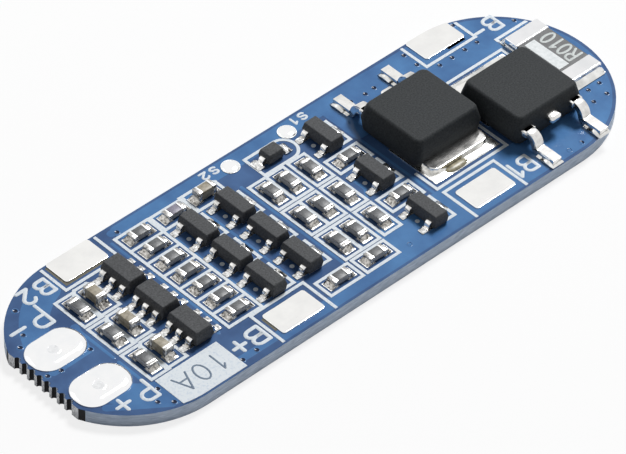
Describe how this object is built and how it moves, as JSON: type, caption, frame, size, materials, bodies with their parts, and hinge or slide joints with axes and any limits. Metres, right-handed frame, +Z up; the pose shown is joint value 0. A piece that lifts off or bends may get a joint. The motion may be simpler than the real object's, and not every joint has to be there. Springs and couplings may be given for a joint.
{
  "type": "battery management board",
  "caption": "Slim round-ended circuit board with soldered transistors, chip resistors and bare wire pads, snapped off square at one end.",
  "frame": {"origin": "centre of the board's underside", "axes": "+X along the board from the snapped end to the round end with the sensing resistor, +Y across it from the front pads to the back pads, +Z up through the parts"},
  "size_m": [0.05, 0.016, 0.0033],
  "materials": {
    "solder_mask": "satin blue lacquer over woven glass laminate, pale laminate at the cut edge",
    "legend_ink": "matt white printed ink",
    "tinned_copper": "bright tinned copper",
    "solder": "smooth bright solder",
    "pad_tin": "level tin with a warm cast",
    "lead_tin": "matt tin-plated leads",
    "moulding_black": "fine-grained black moulding compound",
    "resistor_coating": "dark glassy coating on white ceramic",
    "capacitor_ceramic": "tan fired ceramic"
  },
  "bodies": {
    "root": {"circuit_board": "solder_mask", "silkscreen_legend": "legend_ink", "component_lands": "tinned_copper", "solder_fillets": "solder", "output_pad_minus": "solder", "output_pad_plus": "solder", "battery_pad_plus": "pad_tin", "battery_pad_1": "pad_tin", "battery_pad_2": "pad_tin", "battery_pad_minus": "pad_tin", "transistor_leads": "lead_tin", "cell_chip_leads": "lead_tin", "sense_resistor": "resistor_coating", "sense_resistor_ends": "lead_tin", "diode": "moulding_black", "diode_leads": "lead_tin", "chip_resistor_01": "resistor_coating", "chip_resistor_02": "resistor_coating", "chip_resistor_03": "resistor_coating", "chip_resistor_04": "resistor_coating", "chip_resistor_05": "resistor_coating", "chip_resistor_06": "resistor_coating", "chip_resistor_07": "resistor_coating", "chip_resistor_08": "resistor_coating", "chip_resistor_09": "resistor_coating", "chip_resistor_10": "resistor_coating", "chip_resistor_11": "resistor_coating", "chip_resistor_12": "resistor_coating", "chip_resistor_13": "resistor_coating", "chip_resistor_14": "resistor_coating", "chip_resistor_15": "resistor_coating", "chip_resistor_16": "resistor_coating", "chip_resistor_17": "resistor_coating", "chip_resistor_18": "resistor_coating", "chip_resistor_19": "resistor_coating", "chip_resistor_20": "resistor_coating", "chip_resistor_21": "resistor_coating", "chip_resistor_22": "resistor_coating", "chip_resistor_23": "resistor_coating", "chip_resistor_24": "resistor_coating", "chip_capacitor_01": "capacitor_ceramic", "chip_capacitor_02": "capacitor_ceramic", "chip_capacitor_03": "capacitor_ceramic", "chip_capacitor_04": "capacitor_ceramic", "transistor_01": "moulding_black", "transistor_02": "moulding_black", "transistor_03": "moulding_black", "transistor_04": "moulding_black", "transistor_05": "moulding_black", "transistor_06": "moulding_black", "transistor_07": "moulding_black", "transistor_08": "moulding_black", "transistor_09": "moulding_black", "cell_chip_01": "moulding_black", "cell_chip_02": "moulding_black", "cell_chip_03": "moulding_black", "power_transistor_01": "moulding_black", "power_leadframe_01": "lead_tin", "power_transistor_02": "moulding_black", "power_leadframe_02": "lead_tin"}
  },
  "joints": []
}
